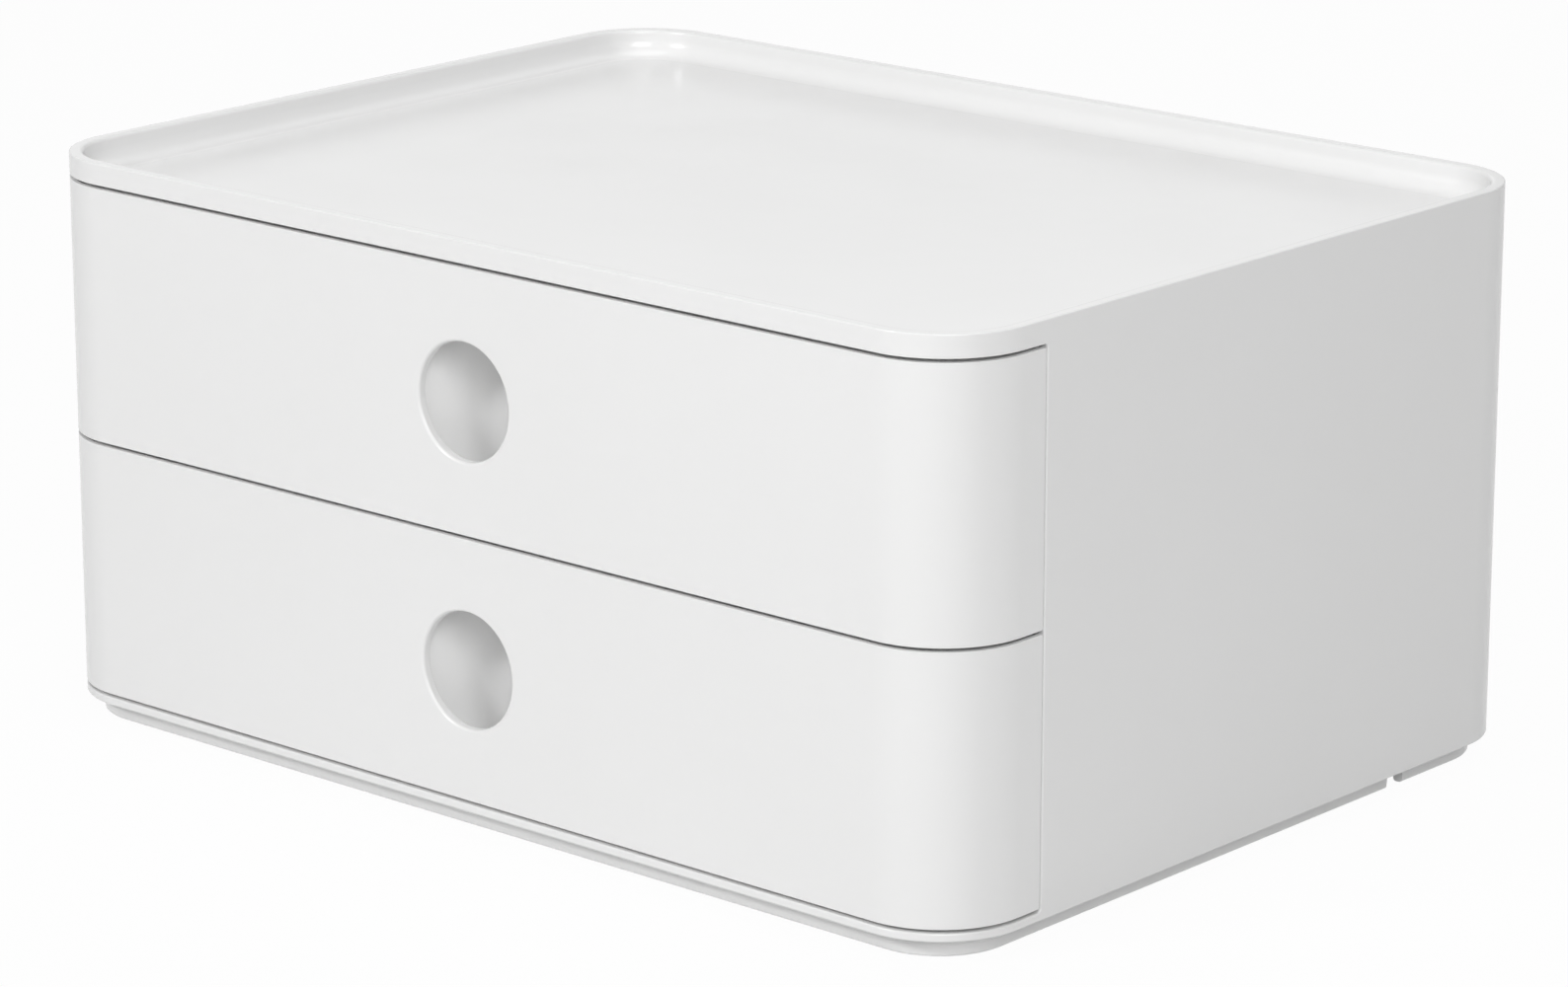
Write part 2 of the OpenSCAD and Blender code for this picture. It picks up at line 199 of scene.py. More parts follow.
side_point = on_plan(BOX_PLAN, Vector((BODY_W, 0, 0)), WALL, 0)
print(f"inner face of the side walls at x = {side_point.x / MM:.1f} mm")

# %% [markdown]
# ## From a bmesh to a finished piece
#
# A moulded part has flat walls that meet in small radii. Plain smooth shading would bend the light
# on the flat walls near every edge, so normals are weighted by face area: large faces stay flat and
# the narrow bands take the turn. Edges that were left sharp inside are marked sharp.

# %% Finish a piece
SHARP_ANGLE = math.radians(38)


def finish_piece(mesh, name, body, node):
    """Makes a bmesh an object that rides on a body and stands for its CAD node."""
    bmesh.ops.remove_doubles(mesh, verts=mesh.verts[:], dist=TINY / 4)
    bmesh.ops.recalc_face_normals(mesh, faces=mesh.faces[:])
    for edge in mesh.edges:
        edge.smooth = edge.calc_face_angle(0) < SHARP_ANGLE
    for face in mesh.faces:
        face.smooth = True
    open_edges = sum(1 for e in mesh.edges if not e.is_manifold)
    data = bpy.data.meshes.new(name)
    mesh.to_mesh(data)
    mesh.free()
    piece = bpy.data.objects.new(name, data)
    bpy.context.scene.collection.objects.link(piece)
    weighted = piece.modifiers.new("flat walls stay flat", "WEIGHTED_NORMAL")
    weighted.mode = "FACE_AREA"
    weighted.keep_sharp = True
    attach(piece, body)
    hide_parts(node)
    print(f"{name}: {len(data.polygons)} faces, {open_edges} open edges")
    return piece


def add_block(mesh, low, high, radius=0.0, segments=2):
    """A small rib, lug or hook: a block between two corners, with rounded edges if asked."""
    low, high = Vector(low), Vector(high)
    made = bmesh.ops.create_cube(mesh, size=1.0)["verts"]
    bmesh.ops.scale(mesh, verts=made, vec=high - low)
    bmesh.ops.translate(mesh, verts=made, vec=(low + high) / 2)
    if radius:
        edges = list({e for v in made for e in v.link_edges})
        soften(mesh, edges, radius, segments)


print(f"edges over {math.degrees(SHARP_ANGLE):.0f} degrees stay sharp")

# %% [markdown]
# ## The housing
#
# On the real box this is one moulding: four walls, a tray for a roof, a skirt over the upper front
# and a thin plinth under the lower one. It is drawn as one section carried round the outline, first
# up the outside and over the rim into the tray, then up the inside to the ceiling. Low inside runs
# a lip that the base hooks on to.
#
# The tray's wall leans back a little and ends in a round hollow, so that nothing collects at its
# foot. A bevel could round that foot, but the hollow is the tray's main shape, so it is drawn in the
# section, as an arc that touches the leaning wall and the floor. The front opening is cut by taking
# out faces, and its edges are closed again with a sill, two jambs and a head.

# %% Draw the housing's section
BASE_SEAT = 0.6 * MM
LIP_Z = BODY_Z + BASE_SEAT
LIP_W = 6.6 * MM
COVE_STEPS = 8

housing = bmesh.new()
foot_ring = outline(housing, BOX_PLAN, WALL, BODY_Z, stops=[JAMB_Y])
outside = [(0, BODY_Z), (0, SILL_Z), (0, SKIRT_Z), (0, TOP_Z), (RIM_W, TOP_Z)]
wall_foot = RIM_W + TRAY_DEPTH * math.tan(RIM_LEAN)
cove_centre = wall_foot + COVE_R / math.tan(math.pi / 4 + RIM_LEAN / 2)
for i in range(COVE_STEPS + 1):
    turn = RIM_LEAN + (math.pi / 2 - RIM_LEAN) * i / COVE_STEPS
    cove_z = TRAY_Z + COVE_R * (1 - math.sin(turn))
    outside.append((cove_centre - COVE_R * math.cos(turn), cove_z))
ring = foot_ring
for inset, z in outside:
    ring = carry(housing, BOX_PLAN, ring, inset, z)
bmesh.ops.contextual_create(housing, geom=ring)
inside = [
    (WALL, LIP_Z), (WALL + LIP_W, LIP_Z), (WALL + LIP_W, SILL_Z), (WALL, SILL_Z), (WALL, CEILING_Z),
]
ring = foot_ring
for inset, z in inside:
    ring = carry(housing, BOX_PLAN, ring, inset, z)
bmesh.ops.contextual_create(housing, geom=ring)
print("housing section carried round:", len(housing.faces), "faces")

# %% Open the front
HEAD_INSET = 3 * MM


def in_front(item):
    return all(v.co.y < JAMB_Y + TINY for v in item.verts)


def spans(item, low, high):
    heights = [v.co.z for v in item.verts]
    return abs(min(heights) - low) < TINY and abs(max(heights) - high) < TINY


opened = [f for f in housing.faces if in_front(f) and spans(f, SILL_Z, SKIRT_Z)]
opened += [f for f in housing.faces if in_front(f) and spans(f, SILL_Z, CEILING_Z)]
bmesh.ops.delete(housing, geom=opened, context="FACES")

head = [e for e in ring_at(housing, BOX_PLAN, 0, SKIRT_Z) if in_front(e)]
for inset, z in [(HEAD_INSET, SKIRT_Z), (HEAD_INSET, CEILING_Z)]:
    head = carry(housing, BOX_PLAN, head, inset, z)
    for vert in {v for e in head for v in e.verts if v.co.y > JAMB_Y - TINY}:
        vert.co = on_plan(BOX_PLAN, vert.co, WALL, z)
for vert in {v for e in ring_at(housing, BOX_PLAN, WALL, CEILING_Z) for v in e.verts}:
    if vert.co.y < JAMB_Y - TINY:
        vert.co = on_plan(BOX_PLAN, vert.co, HEAD_INSET, CEILING_Z)
bmesh.ops.remove_doubles(housing, verts=housing.verts[:], dist=TINY)

sill = [e for e in housing.edges if e.is_boundary and in_front(e) and spans(e, SILL_Z, SILL_Z)]
bmesh.ops.bridge_loops(housing, edges=sill)
bmesh.ops.holes_fill(housing, edges=[e for e in housing.edges if e.is_boundary], sides=0)
bmesh.ops.recalc_face_normals(housing, faces=housing.faces[:])
print("front opened,", len(opened), "faces taken out")

# %% [markdown]
# The radii come last, from the tightest corners to the long rims. The opening's own corners are
# rounded first, because the edge that runs round the opening then follows them. Along the head that
# edge is drawn back to about a third of its radius, because the seam under it reads as one thin dark
# line. Round the two corners it grows to its full radius again. The bevel operator knows only one
# radius at a time, so the edge is bevelled evenly and its points are moved afterwards.

# %% Round the opening
OPENING_CORNER_R = 1.0 * MM
OPENING_EDGE_R = 0.4 * MM
HEAD_SHARE = 0.3


def across_wall(edge, z):
    """An edge of the opening that runs from the outside to the inside of the wall."""
    a, b = (v.co for v in edge.verts)
    return spans(edge, z, z) and abs(a.y - JAMB_Y) < TINY and abs(b.y - JAMB_Y) < TINY


def depth_in(vert):
    """How far a point lies inside the outline."""
    return (vert.co - on_plan(BOX_PLAN, vert.co, 0, vert.co.z)).length


def tighten_head(mesh):
    """Draws the rounded edge along the opening's head back towards a sharp one."""
    arc_y, arc_z = JAMB_Y - OPENING_CORNER_R, SKIRT_Z - OPENING_CORNER_R
    for vert in mesh.verts:
        inset = depth_in(vert)
        spoke = Vector((0, max(vert.co.y - arc_y, 0), vert.co.z - arc_z))
        away = spoke.length - OPENING_CORNER_R
        near = -TINY < away < OPENING_EDGE_R + TINY and inset < OPENING_EDGE_R + TINY
        if near and vert.co.z > arc_z - TINY:
            turn = math.atan2(spoke.y, spoke.z) / (math.pi / 2)
            share = HEAD_SHARE + (1 - HEAD_SHARE) * turn
            place = vert.co - spoke.normalized() * away * (1 - share)
            vert.co = on_plan(BOX_PLAN, place, inset * share, place.z)


corners = [e for e in housing.edges for z in (SILL_Z, SKIRT_Z) if across_wall(e, z)]
corners = [e for e in corners if e.calc_face_angle(0) > SHARP_ANGLE]
soften(housing, corners, OPENING_CORNER_R, segments=5)

housing.normal_update()
opening_edge = []
for edge in housing.edges:
    on_face = all(depth_in(v) < TINY for v in edge.verts)
    around = all(SILL_Z - TINY < v.co.z < SKIRT_Z + TINY for v in edge.verts)
    if on_face and around and in_front(edge) and edge.calc_face_angle(0) > SHARP_ANGLE:
        opening_edge.append(edge)
soften(housing, opening_edge, OPENING_EDGE_R, segments=4)
tighten_head(housing)
print("opening rounded:", len(opening_edge), "edges")

# %% [markdown]
# The rim is tight on its outer side, where it catches a fine line of light, and softer towards the
# tray, where a hand or another box comes in.

# %% Round the plinth and the rim
EDGE_R = 0.4 * MM
RIM_OUTER_R = 0.35 * MM
RIM_INNER_R = 0.8 * MM

soften(housing, ring_at(housing, BOX_PLAN, 0, BODY_Z), EDGE_R, segments=4)
soften(housing, ring_at(housing, BOX_PLAN, 0, TOP_Z), RIM_OUTER_R, segments=4)
soften(housing, ring_at(housing, BOX_PLAN, RIM_W, TOP_Z), RIM_INNER_R, segments=5)
print("housing rounded:", len(housing.faces), "faces")

# %% [markdown]
# Inside, the housing carries a ledge for the divider shelf on three sides, and at each side a nub
# that keeps the shelf in place. The ledge is a closed section, so it is swept like the walls, but
# only from one jamb round the rear to the other. It is a mesh of its own first, because its loose
# ends are closed by filling every hole that is left.

# %% Add the ledge and its nubs
SHELF_T = 2 * MM
SHELF_TOP = upper_low.z - SEAM
SHELF_Z = SHELF_TOP - SHELF_T
LEDGE_W = 2 * MM
LEDGE_H = 2 * MM
LEDGE_Y = JAMB_Y + 2 * MM
BITE = 0.2 * MM


def join(mesh, extra):
    """Adds a finished bmesh to another one."""
    carrier = bpy.data.meshes.new("carrier")
    extra.to_mesh(carrier)
    extra.free()
    mesh.from_mesh(carrier)
    bpy.data.meshes.remove(carrier)


ledge = bmesh.new()
outline(ledge, BOX_PLAN, WALL - BITE, SHELF_Z - LEDGE_H, stops=[LEDGE_Y])
drop = [v for v in ledge.verts if v.co.y < LEDGE_Y - TINY]
bmesh.ops.delete(ledge, geom=drop, context="VERTS")
ring = ledge.edges[:]
section = [(WALL - BITE, SHELF_Z), (WALL + LEDGE_W, SHELF_Z), (WALL + LEDGE_W, SHELF_Z - LEDGE_H)]
for inset, z in section + [(WALL - BITE, SHELF_Z - LEDGE_H)]:
    ring = carry(ledge, BOX_PLAN, ring, inset, z)
bmesh.ops.remove_doubles(ledge, verts=ledge.verts[:], dist=TINY)
bmesh.ops.holes_fill(ledge, edges=[e for e in ledge.edges if e.is_boundary], sides=0)
join(housing, ledge)

NUB_Y = JAMB_Y + 12 * MM
NUB_L = 5 * MM
NUB_TOP = SHELF_TOP - 0.3 * MM
NUB_R = 0.25 * MM
for side in (-1, 1):
    near, far = sorted((side * (BODY_W / 2 - WALL + BITE), side * (BODY_W / 2 - WALL - LEDGE_W)))
    low = (near, NUB_Y - NUB_L / 2, SHELF_Z - BITE)
    add_block(housing, low, (far, NUB_Y + NUB_L / 2, NUB_TOP), NUB_R)
print(f"ledge from y = {LEDGE_Y / MM:.1f} mm to the rear, with two nubs")

# %% [markdown]
# Under the tray hang two ribs. A drawer's tub has two lugs at its rear, and when the drawer is
# pulled out, they meet the ribs before it falls. The ribs' place follows from the joint's travel.

# %% Add the stop ribs
tub_low, tub_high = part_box("upper_drawer_tub")
LUG_X = 55 * MM
LUG_W = 16 * MM
LUG_H = 2.2 * MM
TUB_T = 2 * MM
TUB_H = tub_high.z - tub_low.z - LUG_H
STOP_W = LUG_W + 8 * MM
STOP_T = 2 * MM
STOP_REACH = 0.5 * MM
STOP_GAP = 0.3 * MM
travel = frame["joints"][0]["range_m"][1]
STOP_Y = tub_high.y - TUB_T - travel - STOP_GAP - STOP_T


def add_stop_ribs(mesh, ceiling, tub_top):
    for side in (-1, 1):
        add_block(
            mesh,
            (side * LUG_X - STOP_W / 2, STOP_Y, tub_top + STOP_REACH),
            (side * LUG_X + STOP_W / 2, STOP_Y + STOP_T, ceiling + BITE),
        )


add_stop_ribs(housing, CEILING_Z, tub_low.z + TUB_H)
housing_piece = finish_piece(housing, "housing_shell", "cabinet", "housing")

# %% [markdown]
# ## The drawer fronts
#
# A front is a plain strip of plastic, bent round both corners. Half of it is drawn: four points
# make its section, which slides along the front, swings round the corner and slides back along the
# side. The half is mirrored and the two halves are bridged across the middle. A curve with a bevel
# would bend a strip as well, but a bridged middle leaves one flat panel for the finger hole.

# %% Bend a strip round the corners
FRONT_T = 2.3 * MM
BACK_Y = FRONT_Y + FRONT_T


def slide(mesh, loop, step):
    """Extrudes a loop of edges straight along."""
    verts, loop = extrude_ring(mesh, loop)
    bmesh.ops.translate(mesh, verts=verts, vec=step)
    return loop


def swing(mesh, loop, pivot, angle, steps):
    """Spins a loop of edges about an upright axis."""
    turned = bmesh.ops.spin(
        mesh, geom=loop, cent=pivot, axis=(0, 0, 1), angle=angle, steps=steps,
    )
    return [item for item in turned["geom_last"] if isinstance(item, bmesh.types.BMEdge)]


def bend_strip(mesh, z_low):
    reach_x, reach_y = BODY_W / 2 - CORNER_R, BODY_D / 2 - CORNER_R
    half_panel, z_high = FRONT_H / 2, z_low + FRONT_H
    section = [(FRONT_Y, z_low), (FRONT_Y, z_high), (BACK_Y, z_high), (BACK_Y, z_low)]
    points = [mesh.verts.new((half_panel, y, z)) for y, z in section]
    loop = [mesh.edges.new((points[i - 1], points[i])) for i in range(len(points))]
    loop = slide(mesh, loop, (reach_x - half_panel, 0, 0))
    loop = swing(mesh, loop, (reach_x, -reach_y, 0), math.pi / 2, CORNER_STEPS)
    loop = slide(mesh, loop, (0, RETURN_Y + reach_y, 0))
    bmesh.ops.contextual_create(mesh, geom=loop)
    everything = mesh.verts[:] + mesh.edges[:] + mesh.faces[:]
    bmesh.ops.mirror(mesh, geom=everything, matrix=Matrix.Identity(4), merge_dist=TINY, axis="X")
    bmesh.ops.bridge_loops(mesh, edges=[e for e in mesh.edges if e.is_boundary])


print(f"fronts return {(RETURN_Y - FRONT_Y) / MM:.1f} mm along the sides")

# %% [markdown]
# The finger hole is worked into the middle panel. In each skin a square is inset and its border is
# extruded to an even circle. The front circle is then carried round a rolled lip, straight in, and
# out again to the wider circle at the back. A boolean would cut the hole in one go, but it leaves
# long thin faces round it, and a gloss surface shows every one of them.

# %% Cut the finger hole
PULL_R = 12.6 * MM
LIP_R = 0.7 * MM
LIP_STEPS = 6
HOLE_T = 1.9 * MM
HOLE_FLARE = 0.4 * MM
SQUARE_HALF = 16.5 * MM
SQUARE_CUTS = 15


def to_circle(place, middle, radius, y):
    """Sends a point on a square's border to an evenly divided circle in the plane y."""
    x, z = place.x, place.z - middle
    if abs(x) >= abs(z):
        angle = z / x * math.pi / 4 + (math.pi if x < 0 else 0)
    else:
        angle = math.pi / 2 - x / z * math.pi / 4 + (math.pi if z < 0 else 0)
    return Vector((radius * math.cos(angle), y, middle + radius * math.sin(angle)))


def open_circle(mesh, y, middle, radius):
    """Cuts a round hole in the middle panel's face that lies in the plane y; returns its edge."""
    aim = Vector((0, y, middle))
    panel = min(mesh.faces, key=lambda f: (f.calc_center_median() - aim).length)
    bmesh.ops.inset_individual(
        mesh, faces=[panel], thickness=FRONT_H / 2 - SQUARE_HALF, use_even_offset=True,
    )
    border = panel.edges[:]
    bmesh.ops.delete(mesh, geom=[panel], context="FACES_ONLY")
    bmesh.ops.subdivide_edges(mesh, edges=border, cuts=SQUARE_CUTS)
    border = [e for e in mesh.edges if e.is_boundary and abs(e.verts[0].co.y - y) < TINY]
    verts, border = extrude_ring(mesh, border)
    for vert in verts:
        vert.co = to_circle(vert.co, middle, radius, y)
    return border


def carry_circle(mesh, circle, middle, radius, y):
    """Draws the next band of a round hole: the circle moves to a new radius and depth."""
    verts, circle = extrude_ring(mesh, circle)
    for vert in verts:
        spoke = Vector((vert.co.x, 0, vert.co.z - middle)).normalized() * radius
        vert.co = Vector((spoke.x, y, middle + spoke.z))
    return circle


def pierce(mesh, middle):
    open_circle(mesh, BACK_Y, middle, PULL_R + HOLE_FLARE)
    lip = open_circle(mesh, FRONT_Y, middle, PULL_R + LIP_R)
    for step in range(1, LIP_STEPS + 1):
        turn = math.pi / 2 * step / LIP_STEPS
        radius = PULL_R + LIP_R * (1 - math.sin(turn))
        lip = carry_circle(mesh, lip, middle, radius, FRONT_Y + LIP_R * (1 - math.cos(turn)))
    lip = slide(mesh, lip, (0, HOLE_T - LIP_R, 0))
    carry_circle(mesh, lip, middle, PULL_R + HOLE_FLARE, BACK_Y)
    bmesh.ops.remove_doubles(mesh, verts=mesh.verts[:], dist=TINY)
    bmesh.ops.recalc_face_normals(mesh, faces=mesh.faces[:])


print(f"finger holes {2 * PULL_R / MM:.1f} mm wide, {4 * (SQUARE_CUTS + 1)} points round")

# %% [markdown]
# The panels have hardly any radius at their edges, so the seams between them stay fine lines. The
# top edge is cut away a little at the back, and then a seam looks into a dark gap and not on to a
# white ledge. Small hooks at the back hold the front on its tub.

# %% Finish and make the fronts
TIP_R = 0.5 * MM
FRONT_EDGE_R = 0.12 * MM
BACK_RELIEF = 1.2 * MM
HOOK_X = (46 * MM, 90 * MM)
HOOK_W = 8 * MM
HOOK_T = 1.6 * MM
HOOK_BARB = 0.9 * MM
HOOK_TIP = 1 * MM
HOOK_R = 0.25 * MM
HOOK_EDGE = 9 * MM
SEAT = 0.3 * MM


def round_front(mesh, z_low, z_high):
    back_top = [
        e for e in mesh.edges if spans(e, z_high, z_high)
        and all((v.co - on_plan(BOX_PLAN, v.co, FRONT_T, z_high)).length < TINY for v in e.verts)
    ]
    soften(mesh, back_top, BACK_RELIEF, segments=1)
    tips = [
        e for e in mesh.edges
        if all(abs(v.co.y - RETURN_Y) < TINY for v in e.verts)
        and (spans(e, z_low, z_low) or spans(e, z_high, z_high))
    ]
    soften(mesh, tips, TIP_R, segments=4)
    mesh.normal_update()
    rim = [
        e for e in mesh.edges
        if all(depth_in(v) < TINY for v in e.verts) and e.calc_face_angle(0) > SHARP_ANGLE
    ]
    soften(mesh, rim, FRONT_EDGE_R, segments=3)


def add_front_hook(mesh, x, z):
    """An arm through the tub's front wall, with a barb behind it."""
    left, right, foot = x - HOOK_W / 2, x + HOOK_W / 2, z - HOOK_T / 2
    arm_end = BACK_Y + SEAT + TUB_T + 2 * SEAT
    crown = z + HOOK_T / 2
    add_block(mesh, (left, BACK_Y - BITE, foot), (right, arm_end, crown))
    tip = (right, arm_end + HOOK_TIP, crown + HOOK_BARB)
    add_block(mesh, (left, arm_end, foot), tip, HOOK_R)


def make_front(name, body, node, z_low):
    mesh = bmesh.new()
    bend_strip(mesh, z_low)
    pierce(mesh, z_low + FRONT_H / 2)
    round_front(mesh, z_low, z_low + FRONT_H)
    tub_z = z_low + SEAT
    for x in HOOK_X:
        for side in (-1, 1):
            for z in (tub_z + HOOK_EDGE, tub_z + TUB_H - HOOK_EDGE):
                add_front_hook(mesh, side * x, z)
    return finish_piece(mesh, name, body, node)


lower_front = make_front("lower_front_panel", "lower_drawer", "lower_drawer_front", lower_low.z)
upper_front = make_front("upper_front_panel", "upper_drawer", "upper_drawer_front", upper_low.z)

# %% [markdown]
# ## The drawer tubs
#
# Behind each front sits an open tub. Through the finger hole only its front wall shows, and there
# it steps back in a smooth half-round pocket that gives the fingertip room. The tub is drawn like
# the housing, as a section carried round its own smaller outline.

# %% Draw a tub's shell
TUB_FLOOR_T = 2 * MM
TUB_FILLET = 4 * MM
FILLET_STEPS = 6
TUB_CORNER_R = CORNER_R - 3.1 * MM
TUB_PLAN = Plan(
    tub_high.x - tub_low.x, tub_high.y - tub_low.y, TUB_CORNER_R, (tub_high.y + tub_low.y) / 2,
)


def tub_shell(mesh, z_low):
    """Outer wall, rim, inner wall, rounded foot and floor."""
    ring = outline(mesh, TUB_PLAN, 0, z_low)
    bmesh.ops.contextual_create(mesh, geom=ring)
    window_z = z_low + TUB_FLOOR_T + TUB_FILLET
    profile = [(0, window_z), (0, z_low + TUB_H), (TUB_T, z_low + TUB_H), (TUB_T, window_z)]
    for step in range(1, FILLET_STEPS + 1):
        turn = math.pi / 2 * step / FILLET_STEPS
        inset = TUB_T + TUB_FILLET * (1 - math.cos(turn))
        profile.append((inset, z_low + TUB_FLOOR_T + TUB_FILLET * (1 - math.sin(turn))))
    for inset, z in profile:
        ring = carry(mesh, TUB_PLAN, ring, inset, z)
    bmesh.ops.contextual_create(mesh, geom=ring)


print(f"tub {TUB_PLAN.width / MM:.1f} x {TUB_PLAN.depth / MM:.1f} x {TUB_H / MM:.1f} mm")

# %% [markdown]
# The pocket is let into a window in the front wall. It is a half turn of a closed section with a
# domed shoulder, so it has its own wall thickness everywhere. The window is a little smaller than
# the pocket is outside, so the two overlap and no slit is left between them.

# %% Cut the window
POCKET_R = 13.5 * MM
POCKET_T = 2 * MM
POCKET_TOP = FRONT_H / 2 - SEAT + 16 * MM
WINDOW_HALF = POCKET_R + POCKET_T - BITE
WINDOW_TOP = POCKET_TOP + POCKET_T - BITE
FACING = 0.999


def front_wall(mesh):
    """The faces of a tub's front wall, outer and inner skin."""
    facing = [f for f in mesh.faces if abs(f.normal.y) > FACING]
    return [f for f in facing if f.calc_center_median().y < 0]


def tub_window(mesh, z_low):
    """Opens both skins of the front wall where the pocket goes through, and closes the reveal."""
    sill, top = z_low + TUB_FLOOR_T + TUB_FILLET, z_low + WINDOW_TOP
    cuts = [((side * WINDOW_HALF, 0, 0), (1, 0, 0)) for side in (1, -1)]
    for place, across in cuts + [((0, 0, top), (0, 0, 1))]:
        wall = front_wall(mesh)
        wall += [e for f in wall for e in f.edges] + [v for f in wall for v in f.verts]
        wall = list(set(wall))
        bmesh.ops.bisect_plane(mesh, geom=wall, dist=TINY, plane_co=place, plane_no=across)
    mesh.normal_update()
    window = []
    for face in front_wall(mesh):
        middle = face.calc_center_median()
        if abs(middle.x) < WINDOW_HALF and sill < middle.z < top:
            window.append(face)
    bmesh.ops.delete(mesh, geom=window, context="FACES")
    bmesh.ops.bridge_loops(mesh, edges=[e for e in mesh.edges if e.is_boundary])
    return len(window)


print(f"window {2 * WINDOW_HALF / MM:.1f} mm wide")

# %% Spin the pocket
TUB_FRONT_Y = tub_low.y
POCKET_STEPS = 36
POCKET_SINK = 0.05 * MM
DOME_R = 6 * MM
DOME_STEPS = 6


def dome_profile(radius, top, dome):
    """Height profile of a round column with a domed shoulder, from its top's middle down."""
    points = [(0, top), (radius - dome, top)]
    for step in range(1, DOME_STEPS + 1):
        turn = math.pi / 2 * step / DOME_STEPS
        points.append((radius - dome * (1 - math.sin(turn)), top - dome * (1 - math.cos(turn))))
    return points


def add_pocket(mesh, z_low):
    """Spins the pocket's closed section half round an upright axis in the tub's front plane."""
    base = z_low + TUB_FLOOR_T - BITE
    outer = dome_profile(POCKET_R + POCKET_T, z_low + POCKET_TOP + POCKET_T, DOME_R)
    inner = dome_profile(POCKET_R, z_low + POCKET_TOP, DOME_R - POCKET_T)
    section = outer + [(outer[-1][0], base), (inner[-1][0], base)] + inner[::-1]
    front = TUB_FRONT_Y + POCKET_SINK
    points = [mesh.verts.new((r, front, z)) for r, z in section]
    loop = [mesh.edges.new((points[i - 1], points[i])) for i in range(len(points))]
    bmesh.ops.contextual_create(mesh, geom=loop)
    last = swing(mesh, loop, (0, front, 0), math.pi, POCKET_STEPS)
    bmesh.ops.contextual_create(mesh, geom=last)
    bmesh.ops.remove_doubles(mesh, verts=mesh.verts[:], dist=TINY)


print(f"pocket {POCKET_R / MM:.1f} mm deep in {POCKET_STEPS} steps")

# %% Make the tubs
TUB_FOOT_R = 1.2 * MM
TUB_RIM_R = 0.4 * MM
LUG_ROOT = 1 * MM
LUG_R = 0.3 * MM


def make_tub(name, body, node, z_low):
    mesh = bmesh.new()
    tub_shell(mesh, z_low)
    bmesh.ops.recalc_face_normals(mesh, faces=mesh.faces[:])
    opened = tub_window(mesh, z_low)
    bmesh.ops.recalc_face_normals(mesh, faces=mesh.faces[:])
    soften(mesh, ring_at(mesh, TUB_PLAN, 0, z_low), TUB_FOOT_R, segments=4)
    for inset in (0, TUB_T):
        soften(mesh, ring_at(mesh, TUB_PLAN, inset, z_low + TUB_H), TUB_RIM_R, segments=3)
    pocket = bmesh.new()
    add_pocket(pocket, z_low)
    join(mesh, pocket)
    for side in (-1, 1):
        low = (side * LUG_X - LUG_W / 2, tub_high.y - TUB_T, z_low + TUB_H - LUG_ROOT)
        add_block(mesh, low, (side * LUG_X + LUG_W / 2, tub_high.y, z_low + TUB_H + LUG_H), LUG_R)
    print(name, "window faces:", opened)
    return finish_piece(mesh, name, body, node)


lower_tub_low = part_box("lower_drawer_tub")[0]
lower_tub = make_tub("lower_tub", "lower_drawer", "lower_drawer_tub", lower_tub_low.z)
upper_tub = make_tub("upper_tub", "upper_drawer", "upper_drawer_tub", tub_low.z)

# %% [markdown]
# ## The divider shelf
#
# The shelf is a thin plate between the drawers. Narrow ribs on top carry the upper tub, so that it
# glides on a few lines and not on a whole face, and two ribs below catch the lower drawer. The two
# notches in its sides, which the housing's nubs sit in, never show and are left out.

# %% Draw the divider shelf
SHELF_INSET = 3 * MM
SHELF_R = 0.3 * MM
GLIDE_X = (-98 * MM, -34 * MM, 34 * MM, 98 * MM)
GLIDE_W = 2.4 * MM
GLIDE_H = 0.8 * MM
GLIDE_R = 0.3 * MM
GLIDE_FRONT = FRONT_Y + SHELF_INSET + 8 * MM
GLIDE_REAR = tub_high.y - 14 * MM


def add_glide_ribs(mesh, z_low, z_high):
    for x in GLIDE_X:
        low = (x - GLIDE_W / 2, GLIDE_FRONT, z_low - BITE)
        add_block(mesh, low, (x + GLIDE_W / 2, GLIDE_REAR, z_high), GLIDE_R)


shelf = bmesh.new()
ring = outline(shelf, BOX_PLAN, SHELF_INSET, SHELF_Z)
bmesh.ops.contextual_create(shelf, geom=ring)
ring = carry(shelf, BOX_PLAN, ring, SHELF_INSET, SHELF_TOP)
bmesh.ops.contextual_create(shelf, geom=ring)
for z in (SHELF_Z, SHELF_TOP):
    soften(shelf, ring_at(shelf, BOX_PLAN, SHELF_INSET, z), SHELF_R, segments=2)
add_glide_ribs(shelf, SHELF_TOP, SHELF_TOP + GLIDE_H)
add_stop_ribs(shelf, SHELF_Z, lower_tub_low.z + TUB_H)
shelf_piece = finish_piece(shelf, "shelf_plate", "cabinet", "divider_shelf")

# %% [markdown]
# ## The base
#
# The base closes the housing from below. Its edge shows as a thin step under the plinth, and below
# that runs the stacking rail, which drops into the tray of a box underneath. It is drawn as one more
# section carried round the outline. Near the rear each side of the rail has a narrow notch. The
# outline gets points where a notch ends, so that a notch is made by taking out whole faces.

# %% Draw the base and notch its rail
RAIL_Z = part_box("base")[0].z
PLATE_Z = BODY_Z - 1.8 * MM
BASE_TOP = BODY_Z + BASE_SEAT
SEAT_INSET = WALL + 0.2 * MM
DROP_INSET = RIM_W + 0.2 * MM
RAIL_INSET = DROP_INSET + 0.5 * MM
RAIL_FOOT = RAIL_INSET + 0.2 * MM
RAIL_T = 2.2 * MM
RAIL_INNER = RAIL_FOOT + RAIL_T
NOTCH_Y = REAR_Y - 42.2 * MM
NOTCH_HALF = 2.8 * MM

